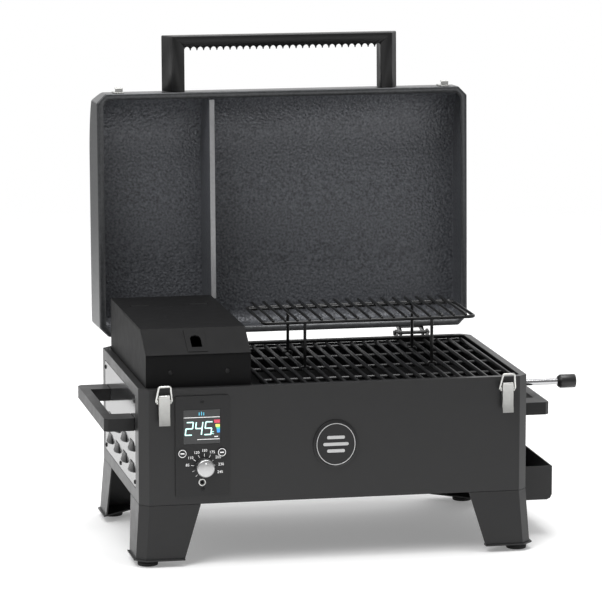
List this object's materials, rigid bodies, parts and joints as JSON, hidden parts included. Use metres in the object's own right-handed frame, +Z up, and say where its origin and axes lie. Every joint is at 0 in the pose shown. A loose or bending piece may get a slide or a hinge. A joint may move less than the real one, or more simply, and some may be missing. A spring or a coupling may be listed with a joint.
{
  "type": "pellet smoker grill",
  "caption": "Portable pellet grill with a hinged domed lid, side hopper, control panel, cooking grate, warming rack, draw latches, carrying handles and splayed legs.",
  "frame": {"origin": "on the ground under the middle of the bounding box, lid open", "axes": "+X to the grill's right side as seen from the front, +Y to the back, +Z up"},
  "size_m": [0.6578, 0.4442, 0.6578],
  "materials": {
    "bare_steel": "bare sheet steel",
    "black_plastic": "satin moulded plastic",
    "chrome": "bright chrome plate",
    "dark_coat": "satin black coat",
    "display_lens": "smoked display window",
    "hammered_enamel": "hammered grey enamel",
    "nickel": "satin nickel plate",
    "porcelain": "gloss black porcelain enamel",
    "powder_coat": "satin fine-texture powder coat",
    "rubber": "matte moulded rubber",
    "white_plastic": "moulded white plastic"
  },
  "bodies": {
    "cabinet": {"cabinet_shell": "powder_coat", "bottom_cover": "dark_coat", "cabinet_back": "powder_coat", "vent_panel": "powder_coat", "leg_front_left": "powder_coat", "foot_front_left": "rubber", "leg_back_left": "powder_coat", "foot_back_left": "rubber", "carry_handle_left": "dark_coat", "hinge_bracket_left": "bare_steel", "hinge_pin_left": "nickel", "latch_base_left": "nickel", "leg_front_right": "powder_coat", "foot_front_right": "rubber", "leg_back_right": "powder_coat", "foot_back_right": "rubber", "carry_handle_right": "dark_coat", "hinge_bracket_right": "bare_steel", "hinge_pin_right": "nickel", "latch_base_right": "nickel", "hopper_box": "dark_coat", "auger_motor": "dark_coat", "auger_tube": "bare_steel", "fire_pot": "bare_steel", "fan_frame": "black_plastic", "chamber_bulkhead": "dark_coat", "chamber_floor": "dark_coat", "deflector_plate": "dark_coat", "grate_ledge_front": "dark_coat", "temperature_probe": "bare_steel", "rod_bushing": "nickel", "drain_spout": "bare_steel", "control_panel": "dark_coat", "display_lens": "display_lens", "probe_socket": "white_plastic", "front_badge": "bare_steel", "power_inlet": "black_plastic"},
    "lid": {"lid_shell": "hammered_enamel", "lid_divider": "bare_steel", "lid_handle": "dark_coat", "latch_keeper_left": "nickel", "latch_keeper_right": "nickel", "hinge_leaf_left": "nickel", "hinge_leaf_right": "nickel"},
    "hopper_lid": {"hopper_lid": "dark_coat"},
    "latch_lever_left": {"latch_lever_left": "nickel"},
    "latch_lever_right": {"latch_lever_right": "nickel"},
    "latch_loop_left": {"latch_loop_left": "nickel"},
    "latch_loop_right": {"latch_loop_right": "nickel"},
    "control_knob": {"control_knob": "nickel"},
    "push_button_left": {"push_button_left": "black_plastic"},
    "push_button_right": {"push_button_right": "black_plastic"},
    "flame_slide": {"flame_slide": "dark_coat", "slide_rod": "chrome", "slide_knob": "black_plastic"},
    "grease_tray": {"grease_tray": "powder_coat"},
    "cooking_grate": {"cooking_grate": "porcelain"},
    "warming_rack": {"warming_rack": "porcelain"},
    "auger_screw": {"auger_screw": "bare_steel"},
    "fan_rotor": {"fan_rotor": "black_plastic"}
  },
  "joints": [
    {"name": "lid_hinge", "type": "hinge", "parent": "cabinet", "child": "lid", "pos_m": [-0.0289, 0.13639, 0.2369], "axis": [-1, 0, 0], "range_deg": [-92, 0]},
    {"name": "hopper_lid_hinge", "type": "hinge", "parent": "cabinet", "child": "hopper_lid", "pos_m": [-0.2089, 0.03569, 0.3035], "axis": [-1, 0, 0], "range_deg": [0, 100]},
    {"name": "latch_lever_left_swing", "type": "hinge", "parent": "cabinet", "child": "latch_lever_left", "pos_m": [-0.2581, -0.21031, 0.2245], "axis": [-1, 0, 0], "range_deg": [0, 100]},
    {"name": "latch_loop_left_swing", "type": "hinge", "parent": "latch_lever_left", "child": "latch_loop_left", "pos_m": [-0.2581, -0.21181, 0.2195], "axis": [1, 0, 0], "range_deg": [0, 100]},
    {"name": "latch_lever_right_swing", "type": "hinge", "parent": "cabinet", "child": "latch_lever_right", "pos_m": [0.2003, -0.21031, 0.2245], "axis": [-1, 0, 0], "range_deg": [0, 100]},
    {"name": "latch_loop_right_swing", "type": "hinge", "parent": "latch_lever_right", "child": "latch_loop_right", "pos_m": [0.2003, -0.21181, 0.2195], "axis": [1, 0, 0], "range_deg": [0, 100]},
    {"name": "knob_turn", "type": "hinge", "parent": "cabinet", "child": "control_knob", "pos_m": [-0.2046, -0.20981, 0.1308], "axis": [0, -1, 0], "range_deg": [-135, 135]},
    {"name": "button_left_press", "type": "slide", "parent": "cabinet", "child": "push_button_left", "axis": [0, 1, 0], "range_m": [0, 0.0012], "stiffness_N_per_m": 800},
    {"name": "button_right_press", "type": "slide", "parent": "cabinet", "child": "push_button_right", "axis": [0, 1, 0], "range_m": [0, 0.0012], "stiffness_N_per_m": 800},
    {"name": "flame_slide_pull", "type": "slide", "parent": "cabinet", "child": "flame_slide", "axis": [1, 0, 0], "range_m": [-0.045, 0]},
    {"name": "grease_tray_lift", "type": "slide", "parent": "cabinet", "child": "grease_tray", "axis": [0, 0, 1], "range_m": [0, 0.008]},
    {"name": "cooking_grate_lift", "type": "slide", "parent": "cabinet", "child": "cooking_grate", "axis": [0, 0, 1], "range_m": [0, 0.06]},
    {"name": "warming_rack_lift", "type": "slide", "parent": "cooking_grate", "child": "warming_rack", "axis": [0, 0, 1], "range_m": [0, 0.05]},
    {"name": "auger_spin", "type": "hinge", "parent": "cabinet", "child": "auger_screw", "pos_m": [-0.1289, -0.03981, 0.126], "axis": [1, 0, 0], "continuous": true},
    {"name": "fan_spin", "type": "hinge", "parent": "cabinet", "child": "fan_rotor", "pos_m": [-0.2599, 0.05519, 0.122], "axis": [1, 0, 0], "continuous": true}
  ],
  "couplings": [
    {"joint": "latch_loop_left_swing", "follows": "latch_lever_left_swing", "ratio": 1},
    {"joint": "latch_loop_right_swing", "follows": "latch_lever_right_swing", "ratio": 1}
  ]
}
